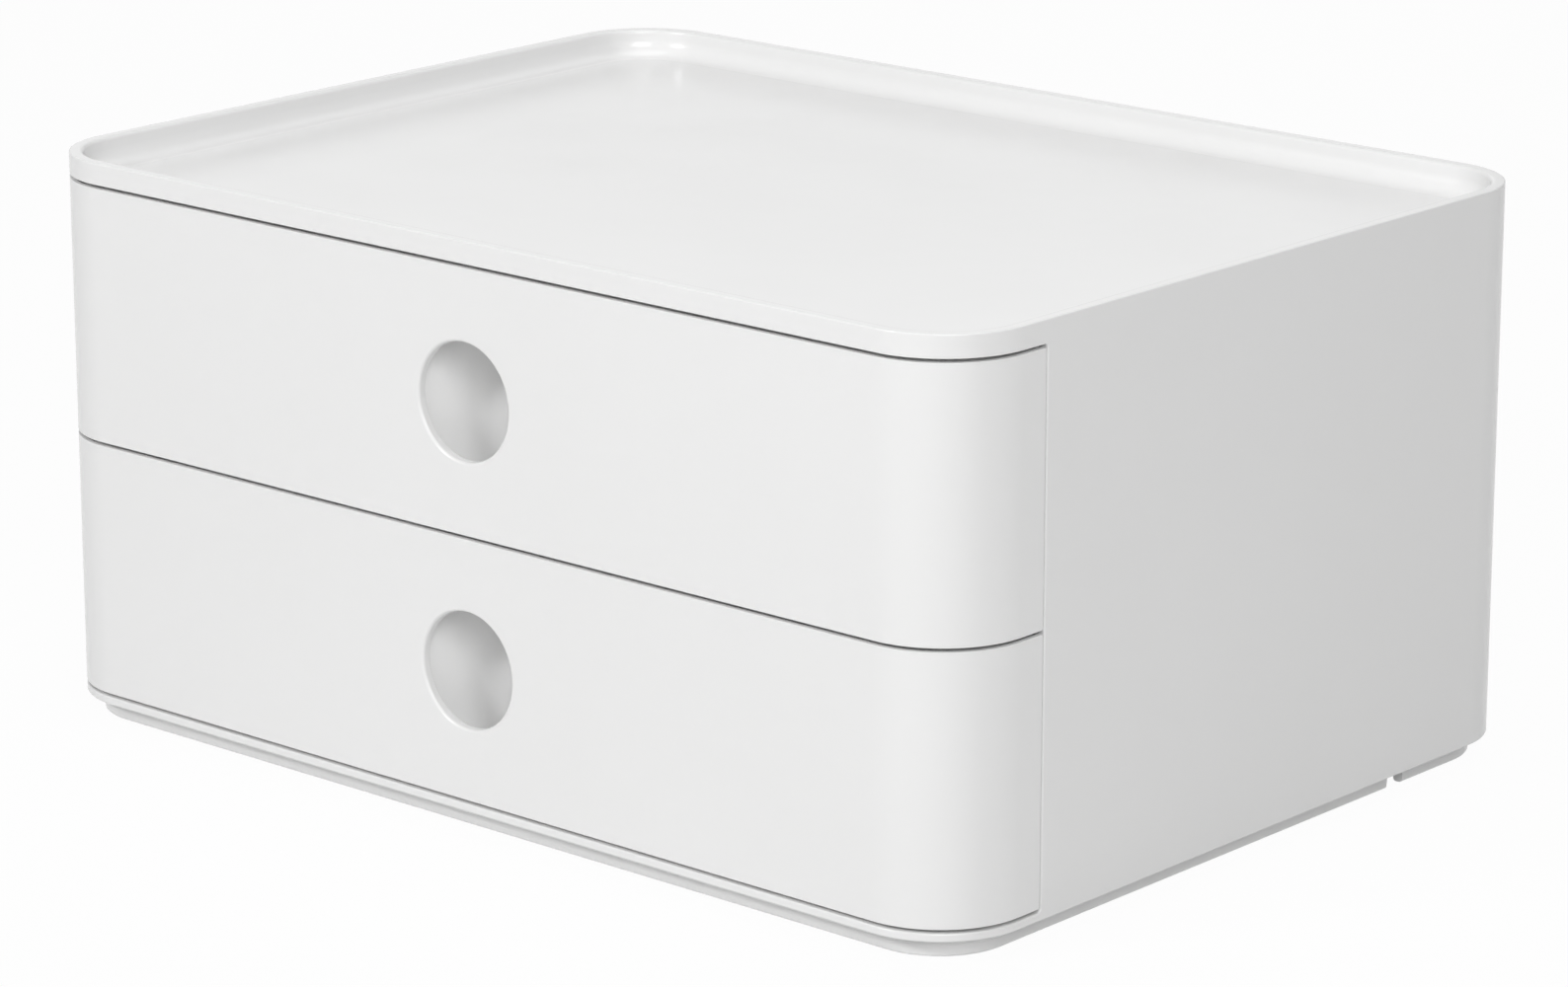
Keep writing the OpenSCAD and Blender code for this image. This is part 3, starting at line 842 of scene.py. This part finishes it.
base = bmesh.new()
notch_ends = [NOTCH_Y - NOTCH_HALF, NOTCH_Y + NOTCH_HALF]
ring = outline(base, BOX_PLAN, RAIL_INNER, PLATE_Z, stops=notch_ends)
bmesh.ops.contextual_create(base, geom=ring)
section = [
    (RAIL_INNER, RAIL_Z), (RAIL_FOOT, RAIL_Z), (RAIL_INSET, PLATE_Z), (DROP_INSET, PLATE_Z),
    (DROP_INSET, BODY_Z), (SEAT_INSET, BODY_Z), (SEAT_INSET, BASE_TOP),
]
for inset, z in section:
    ring = carry(base, BOX_PLAN, ring, inset, z)
bmesh.ops.contextual_create(base, geom=ring)


def in_notch(item):
    return all(abs(v.co.y - NOTCH_Y) < NOTCH_HALF + TINY for v in item.verts)


rail_insets = (RAIL_INSET - TINY, RAIL_INNER + TINY)
notched = []
for face in base.faces:
    insets = [BODY_W / 2 - abs(v.co.x) for v in face.verts]
    if in_notch(face) and rail_insets[0] < min(insets) and max(insets) < rail_insets[1]:
        notched.append(face)
bmesh.ops.delete(base, geom=notched, context="FACES")
for side in (-1, 1):
    along = [
        e for e in base.edges
        if e.is_boundary and in_notch(e) and e.verts[0].co.x * side > 0
        and abs(e.verts[0].co.y - e.verts[1].co.y) > NOTCH_HALF
    ]
    bmesh.ops.bridge_loops(base, edges=along)
bmesh.ops.holes_fill(base, edges=[e for e in base.edges if e.is_boundary], sides=0)
print("rail notched:", len(notched), "faces taken out")

# %% [markdown]
# A plate this wide would bend, so ribs cross it underneath, and the lower drawer glides on four more
# on top.

# %% Round and rib the base
RAIL_EDGE_R = 0.7 * MM
UNDER_X = (-65 * MM, 0, 65 * MM)
UNDER_Y = (-39 * MM, 39 * MM)
UNDER_T = 1.4 * MM

bmesh.ops.recalc_face_normals(base, faces=base.faces[:])
for inset in (RAIL_FOOT, RAIL_INNER):
    soften(base, ring_at(base, BOX_PLAN, inset, RAIL_Z), RAIL_EDGE_R, segments=4)
soften(base, ring_at(base, BOX_PLAN, DROP_INSET, PLATE_Z), EDGE_R, segments=3)
add_glide_ribs(base, BASE_TOP, lower_low.z)
inner_w, inner_d = BODY_W / 2 - RAIL_INNER, BODY_D / 2 - RAIL_INNER
for x in UNDER_X:
    low = (x - UNDER_T / 2, -inner_d - BITE, PLATE_Z - UNDER_T)
    add_block(base, low, (x + UNDER_T / 2, inner_d + BITE, PLATE_Z + BITE))
for y in UNDER_Y:
    low = (-inner_w - BITE, y - UNDER_T / 2, PLATE_Z - UNDER_T)
    add_block(base, low, (inner_w + BITE, y + UNDER_T / 2, PLATE_Z + BITE))
print("base rounded and ribbed:", len(base.faces), "faces")

# %% [markdown]
# Eight hooks rise from the base through the housing's lip, two on each side, and grip its upper
# face. The feet sit in short round sockets, which are spun like a pot on a wheel.

# %% Add the base's hooks
BASE_HOOK_X, BASE_HOOK_Y = 65 * MM, 39 * MM
BASE_HOOK_W, BASE_HOOK_T = 8 * MM, 1.6 * MM
BASE_HOOK_INSET = WALL + LIP_W / 2
BASE_HOOK_TOP = lower_low.z - TINY
BASE_HOOK_R = 0.2 * MM
GRIP_REACH = LIP_W / 4 + 1 * MM
GRIP_Z = SILL_Z + 0.1 * MM


def add_base_hook(mesh, x, y, outwards):
    """A hook that rises through the lip and grips its upper face, pointing at the wall."""
    along = Vector((abs(outwards.y), abs(outwards.x), 0)) * BASE_HOOK_W / 2
    through = Vector((abs(outwards.x), abs(outwards.y), 0)) * BASE_HOOK_T / 2
    middle = Vector((x, y, 0))
    foot, crown = Vector((0, 0, BASE_TOP - BITE)), Vector((0, 0, BASE_HOOK_TOP))
    add_block(mesh, middle - along - through + foot, middle + along + through + crown)
    grip = outwards * GRIP_REACH
    corners = (middle - along, middle + along, middle - along + grip, middle + along + grip)
    low = Vector((min(c.x for c in corners), min(c.y for c in corners), GRIP_Z))
    high = Vector((max(c.x for c in corners), max(c.y for c in corners), BASE_HOOK_TOP))
    add_block(mesh, low, high, BASE_HOOK_R)


hook_x, hook_y = BODY_W / 2 - BASE_HOOK_INSET, BODY_D / 2 - BASE_HOOK_INSET
for side in (-1, 1):
    for along in (-1, 1):
        add_base_hook(base, side * hook_x, along * BASE_HOOK_Y, Vector((side, 0, 0)))
        add_base_hook(base, along * BASE_HOOK_X, side * hook_y, Vector((0, side, 0)))
print("base with hooks:", len(base.faces), "faces")

# %% Spin the sockets for the feet
foot_low, foot_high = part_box("foot_front_left")
FOOT_R = (foot_high.x - foot_low.x) / 2
SOCKET_T = 1.5 * MM
SOCKET_GAP = 0.1 * MM
SOCKET_Z = PLATE_Z - 2 * MM
ROUND_STEPS = 48


def spin_round(mesh, edges, x, y):
    """Spins edges all the way round an upright axis."""
    bmesh.ops.spin(
        mesh, geom=edges, cent=(x, y, 0), axis=(0, 0, 1), angle=2 * math.pi, steps=ROUND_STEPS,
        use_merge=True,
    )


foot_places = {}
for node in sorted(frame["nodes"]):
    if node.startswith("foot_"):
        low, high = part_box(node)
        foot_places[node] = ((low.x + high.x) / 2, (low.y + high.y) / 2)
socket_in, socket_out = FOOT_R + SOCKET_GAP, FOOT_R + SOCKET_GAP + SOCKET_T
socket = [
    (socket_in, PLATE_Z + BITE), (socket_in, SOCKET_Z),
    (socket_out, SOCKET_Z), (socket_out, PLATE_Z + BITE),
]
for x, y in foot_places.values():
    points = [base.verts.new((x + r, y, z)) for r, z in socket]
    loop = [base.edges.new((points[i - 1], points[i])) for i in range(len(points))]
    spin_round(base, loop, x, y)
base_piece = finish_piece(base, "base_tray", "cabinet", "base")

# %% [markdown]
# ## The feet
#
# Four soft discs sit in sockets under the base and stand a hair lower than the rail, so the box
# rests on rubber. Each is a profile spun once round, with a small chamfer where it meets the desk.

# %% Spin the feet
FOOT_EDGE = 0.6 * MM
foot_profile = [
    (0, 0), (FOOT_R - FOOT_EDGE, 0), (FOOT_R, FOOT_EDGE), (FOOT_R, foot_high.z), (0, foot_high.z),
]
feet = []
for node, (x, y) in foot_places.items():
    mesh = bmesh.new()
    points = [mesh.verts.new((x + r, y, z)) for r, z in foot_profile]
    chain = [mesh.edges.new((a, b)) for a, b in zip(points, points[1:])]
    spin_round(mesh, chain, x, y)
    bmesh.ops.remove_doubles(mesh, verts=mesh.verts[:], dist=TINY)
    feet.append(finish_piece(mesh, node + "_pad", "cabinet", node))

# %% [markdown]
# ## Gloss white plastic
#
# White gloss plastic is a white body with a smooth but slightly uneven skin. Three things keep it
# from looking like paint on a computer: the colour drifts very slightly where the melt flowed, the
# skin has a long shallow waviness that bends reflections, and the gloss varies where hands and dust
# have been. All three change over the surface, so they are made once, as a node group, and each
# plastic sets its own amounts. The shader itself stays outside the group, with its plain values on
# it. A scale here counts waves per metre, because patterns are read in the object's own metres.

# %% Helpers for node trees
NOISE_LOW, NOISE_HIGH = 0.2, 0.8


def new_group(name, inputs, outputs):
    group = bpy.data.node_groups.new(name, "ShaderNodeTree")
    for label, kind, value in inputs:
        socket = group.interface.new_socket(label, in_out="INPUT", socket_type=kind)
        socket.default_value = value
    for label, kind in outputs:
        group.interface.new_socket(label, in_out="OUTPUT", socket_type=kind)
    return group


def add_node(tree, kind, **values):
    made = tree.nodes.new(kind)
    for key, value in values.items():
        setattr(made, key, value)
    return made


def noise(tree, vector, scale, detail, roughness=0.5):
    made = add_node(tree, "ShaderNodeTexNoise")
    made.inputs["Scale"].default_value = scale
    made.inputs["Detail"].default_value = detail
    made.inputs["Roughness"].default_value = roughness
    tree.links.new(vector, made.inputs["Vector"])
    return made.outputs["Fac"]


def spread(tree, value, low, high):
    """Maps a noise from its usual band to low..high; low and high may be sockets or numbers."""
    made = add_node(tree, "ShaderNodeMapRange", interpolation_type="SMOOTHSTEP")
    made.inputs["From Min"].default_value = NOISE_LOW
    made.inputs["From Max"].default_value = NOISE_HIGH
    tree.links.new(value, made.inputs["Value"])
    for key, given in (("To Min", low), ("To Max", high)):
        if isinstance(given, bpy.types.NodeSocket):
            tree.links.new(given, made.inputs[key])
        else:
            made.inputs[key].default_value = given
    return made.outputs["Result"]


print(f"noise runs from {NOISE_LOW} to {NOISE_HIGH}")

# %% Wire the moulded skin
DRIFT_SCALE, HANDLED_SCALE = 14, 40
LONG_WAVE_SCALE, FINE_WAVE_SCALE = 45, 900
FINE_WAVE_SHARE = 0.04
COLOUR_A, COLOUR_B, COLOUR_MIXED = 6, 7, 2

skin = new_group(
    "moulded_skin",
    [
        ("Colour", "NodeSocketColor", (0.86, 0.86, 0.86, 1)),
        ("Drift Colour", "NodeSocketColor", (0.85, 0.85, 0.84, 1)),
        ("Gloss Low", "NodeSocketFloat", 0.2),
        ("Gloss High", "NodeSocketFloat", 0.3),
        ("Waviness", "NodeSocketFloat", 1.0),
    ],
    [("Colour", "NodeSocketColor"), ("Roughness", "NodeSocketFloat"), ("Height", "NodeSocketFloat")],
)
group_in = add_node(skin, "NodeGroupInput")
group_out = add_node(skin, "NodeGroupOutput")
place = add_node(skin, "ShaderNodeTexCoord").outputs["Object"]
drift = spread(skin, noise(skin, place, DRIFT_SCALE, detail=2), 0.0, 1.0)
tint = add_node(skin, "ShaderNodeMix", data_type="RGBA")
skin.links.new(drift, tint.inputs["Factor"])
skin.links.new(group_in.outputs["Colour"], tint.inputs[COLOUR_A])
skin.links.new(group_in.outputs["Drift Colour"], tint.inputs[COLOUR_B])
skin.links.new(tint.outputs[COLOUR_MIXED], group_out.inputs["Colour"])
handled = noise(skin, place, HANDLED_SCALE, detail=2, roughness=0.4)
gloss = spread(skin, handled, group_in.outputs["Gloss Low"], group_in.outputs["Gloss High"])
skin.links.new(gloss, group_out.inputs["Roughness"])
long_wave = noise(skin, place, LONG_WAVE_SCALE, detail=1)
fine_wave = noise(skin, place, FINE_WAVE_SCALE, detail=2)
waves = add_node(skin, "ShaderNodeMath", operation="MULTIPLY_ADD")
skin.links.new(fine_wave, waves.inputs[0])
waves.inputs[1].default_value = FINE_WAVE_SHARE
skin.links.new(long_wave, waves.inputs[2])
amount = add_node(skin, "ShaderNodeMath", operation="MULTIPLY")
skin.links.new(waves.outputs[0], amount.inputs[0])
skin.links.new(group_in.outputs["Waviness"], amount.inputs[1])
skin.links.new(amount.outputs[0], group_out.inputs["Height"])
print("group", skin.name, "with", len(skin.nodes), "nodes")

# %% [markdown]
# The shell is the glossier of the two plastics, and the inner parts are satin. The inner white is a
# little lighter, as it looks through the finger holes.

# %% Mix the plastics
WAVE_HEIGHT = 0.02 * MM
WAVE_STRENGTH = 0.6


def new_material(name, roughness, specular=0.5):
    material = bpy.data.materials.new(name)
    material.use_nodes = True
    shader = material.node_tree.nodes["Principled BSDF"]
    shader.inputs["Roughness"].default_value = roughness
    shader.inputs["Specular IOR Level"].default_value = specular
    return material, material.node_tree, shader


def moulded_plastic(name, colour, drift_colour, gloss_low, gloss_high, waviness):
    material, tree, shader = new_material(name, gloss_low)
    skin_node = add_node(tree, "ShaderNodeGroup", node_tree=skin)
    skin_node.inputs["Colour"].default_value = colour
    skin_node.inputs["Drift Colour"].default_value = drift_colour
    skin_node.inputs["Gloss Low"].default_value = gloss_low
    skin_node.inputs["Gloss High"].default_value = gloss_high
    skin_node.inputs["Waviness"].default_value = waviness
    bump = add_node(tree, "ShaderNodeBump")
    bump.inputs["Distance"].default_value = WAVE_HEIGHT
    bump.inputs["Strength"].default_value = WAVE_STRENGTH
    tree.links.new(skin_node.outputs["Colour"], shader.inputs["Base Color"])
    tree.links.new(skin_node.outputs["Roughness"], shader.inputs["Roughness"])
    tree.links.new(skin_node.outputs["Height"], bump.inputs["Height"])
    tree.links.new(bump.outputs["Normal"], shader.inputs["Normal"])
    return material


shell_white = moulded_plastic(
    "shell_gloss_white", colour=(0.860, 0.860, 0.858, 1), drift_colour=(0.851, 0.851, 0.848, 1),
    gloss_low=0.20, gloss_high=0.26, waviness=1.0,
)
inner_white = moulded_plastic(
    "inner_satin_white", colour=(0.925, 0.925, 0.922, 1), drift_colour=(0.913, 0.912, 0.909, 1),
    gloss_low=0.30, gloss_high=0.40, waviness=1.4,
)
print("plastics:", shell_white.name, inner_white.name)

# %% [markdown]
# The feet are grey rubber: dull, with a fine grain that colours and roughens them together.

# %% Mix the rubber and hand out the finishes
GRAIN_SCALE = 1400
GRAIN_HEIGHT = 0.1 * MM
GRAIN_DARK, GRAIN_LIGHT = (0.33, 0.34, 0.34, 1), (0.39, 0.40, 0.40, 1)

foot_grain, tree, shader = new_material("foot_rubber_grain", roughness=0.75, specular=0.3)
place = add_node(tree, "ShaderNodeTexCoord").outputs["Object"]
grain = noise(tree, place, GRAIN_SCALE, detail=4)
ramp = add_node(tree, "ShaderNodeValToRGB")
ramp.color_ramp.elements[0].color = GRAIN_DARK
ramp.color_ramp.elements[1].color = GRAIN_LIGHT
tree.links.new(grain, ramp.inputs["Fac"])
tree.links.new(ramp.outputs["Color"], shader.inputs["Base Color"])
bump = add_node(tree, "ShaderNodeBump")
bump.inputs["Distance"].default_value = GRAIN_HEIGHT
tree.links.new(grain, bump.inputs["Height"])
tree.links.new(bump.outputs["Normal"], shader.inputs["Normal"])

for piece in (housing_piece, base_piece, lower_front, upper_front):
    piece.data.materials.append(shell_white)
for piece in (lower_tub, upper_tub, shelf_piece):
    piece.data.materials.append(inner_white)
for piece in feet:
    piece.data.materials.append(foot_grain)
print("materials:", [m.name for m in (shell_white, inner_white, foot_grain)])

# %% [markdown]
# ## Floor and world
#
# The box was photographed on white, which runs off without a horizon. A floor that is white only
# because it is flooded with light would bleach the box too. So the floor is a plain pale floor for
# the light that bounces off it, and mostly its own white for the camera and for reflections, which
# leaves just a breath of the contact shadow. The world does the same: it gives the box a little even
# light, and shows as plain white.

# %% Lay the floor
FLOOR_HALF = 4.0
FLOOR_COLOUR = (0.80, 0.80, 0.80, 1)
FLOOR_WHITE_SHARE = 0.96

floor_mesh = bmesh.new()
bmesh.ops.create_grid(floor_mesh, x_segments=4, y_segments=4, size=FLOOR_HALF)
floor_data = bpy.data.meshes.new("floor")
floor_mesh.to_mesh(floor_data)
floor_mesh.free()
floor = bpy.data.objects.new("floor", floor_data)
bpy.context.scene.collection.objects.link(floor)


def seen_directly(tree):
    """1 for what the camera sees, also in a reflection or through glass, and 0 for bounced light."""
    path = add_node(tree, "ShaderNodeLightPath")
    total = path.outputs["Is Camera Ray"]
    for other in ("Is Glossy Ray", "Is Transmission Ray"):
        both = add_node(tree, "ShaderNodeMath", operation="MAXIMUM")
        tree.links.new(total, both.inputs[0])
        tree.links.new(path.outputs[other], both.inputs[1])
        total = both.outputs[0]
    return total


def show_mix(tree, share, lit, seen, output_kind):
    """Puts out the lit shader where share is 0, and the seen one where it is 1."""
    mix = add_node(tree, "ShaderNodeMixShader")
    tree.links.new(share, mix.inputs["Fac"])
    tree.links.new(lit.outputs[0], mix.inputs[1])
    tree.links.new(seen.outputs[0], mix.inputs[2])
    surface = add_node(tree, output_kind)
    tree.links.new(mix.outputs[0], surface.inputs["Surface"])


floor_paint = bpy.data.materials.new("floor_paint")
floor_paint.use_nodes = True
tree = floor_paint.node_tree
tree.nodes.clear()
paint = add_node(tree, "ShaderNodeBsdfDiffuse")
paint.inputs["Color"].default_value = FLOOR_COLOUR
glow = add_node(tree, "ShaderNodeEmission")
glow.inputs["Strength"].default_value = 1.0
share = add_node(tree, "ShaderNodeMath", operation="MULTIPLY")
tree.links.new(seen_directly(tree), share.inputs[0])
share.inputs[1].default_value = FLOOR_WHITE_SHARE
show_mix(tree, share.outputs[0], paint, glow, "ShaderNodeOutputMaterial")
floor.data.materials.append(floor_paint)
print(f"floor {2 * FLOOR_HALF:.0f} m square, {FLOOR_WHITE_SHARE:.0%} its own white")

# %% Set the world
WORLD_LEVEL = 0.06

world = bpy.data.worlds.new("studio")
bpy.context.scene.world = world
world.use_nodes = True
tree = world.node_tree
tree.nodes.clear()
room = add_node(tree, "ShaderNodeBackground")
room.inputs["Color"].default_value = (1.0, 1.0, 1.0, 1)
room.inputs["Strength"].default_value = WORLD_LEVEL
white = add_node(tree, "ShaderNodeBackground")
white.inputs["Strength"].default_value = 1.0
show_mix(tree, seen_directly(tree), room, white, "ShaderNodeOutputWorld")
print("world lights at", WORLD_LEVEL)

# %% [markdown]
# ## The lamps
#
# Soft light on white plastic is judged by its levels. Each visible side of the box has a lamp that
# mostly lights that side, so each level can be set nearly by itself. The key lamp is small, for the
# front and the crisp glints on its edges. A broader one lights the right side, and one overhead the
# tray. Three weak ones give the rear walls some light for views from behind. Those walls still come
# out greyer than the front, because the photo's light comes from the front.

# %% Hang the lamps
AIM = Vector((0, 0, TOP_Z / 2))


def softbox(name, place, size, power):
    """A square lamp that points at the box."""
    lamp = bpy.data.lights.new(name, "AREA")
    lamp.shape = "SQUARE"
    lamp.size = size
    lamp.energy = power
    holder = bpy.data.objects.new(name, lamp)
    bpy.context.scene.collection.objects.link(holder)
    holder.location = place
    holder.rotation_euler = (AIM - Vector(place)).to_track_quat("-Z", "Y").to_euler()
    print(f"{name}: {power} W, {size} m wide, {(AIM - Vector(place)).length:.2f} m away")


softbox("key_front_left", place=(-0.56, -1.47, 0.92), size=0.33, power=10.9)
softbox("side_front_right", place=(1.15, -0.99, 1.00), size=0.8, power=15.5)
softbox("overhead", place=(0.0, 0.0, 1.8), size=1.2, power=8.5)
softbox("rear_high", place=(0.0, 1.3, 1.25), size=1.0, power=3.3)
softbox("rear_left", place=(-1.2, 1.2, 0.8), size=1.0, power=1.2)
softbox("rear_right", place=(1.2, 1.2, 0.7), size=1.0, power=1.0)

# %% [markdown]
# ## The camera
#
# The camera's place, direction and lens come from fitting the box's edges to the photograph. It is a
# long lens, so parallel edges hardly draw together. The camera is set by its own three axes, because
# then no angle can be taken the wrong way round.

# %% Set the camera
PHOTO_W = 1588
FOCAL_PX = 5747.4
SENSOR = 36.0
AZIMUTH, ELEVATION = math.radians(41.38), math.radians(15.735)
CAMERA_PLACE = Vector((0.78557, -0.88995, 0.38754))

camera_data = bpy.data.cameras.new("camera")
camera_data.sensor_width = SENSOR
camera_data.lens = FOCAL_PX / PHOTO_W * SENSOR
camera = bpy.data.objects.new("camera", camera_data)
bpy.context.scene.collection.objects.link(camera)
backwards = Vector((
    math.sin(AZIMUTH) * math.cos(ELEVATION),
    -math.cos(AZIMUTH) * math.cos(ELEVATION),
    math.sin(ELEVATION),
))
sideways = Vector((math.cos(AZIMUTH), math.sin(AZIMUTH), 0))
upwards = backwards.cross(sideways)
camera.matrix_world = Matrix.Translation(CAMERA_PLACE) @ Matrix(
    (sideways, upwards, backwards)
).transposed().to_4x4()
bpy.context.scene.camera = camera
print(f"lens {camera_data.lens:.1f} mm")

bpy.context.scene.view_settings.view_transform = "Standard"
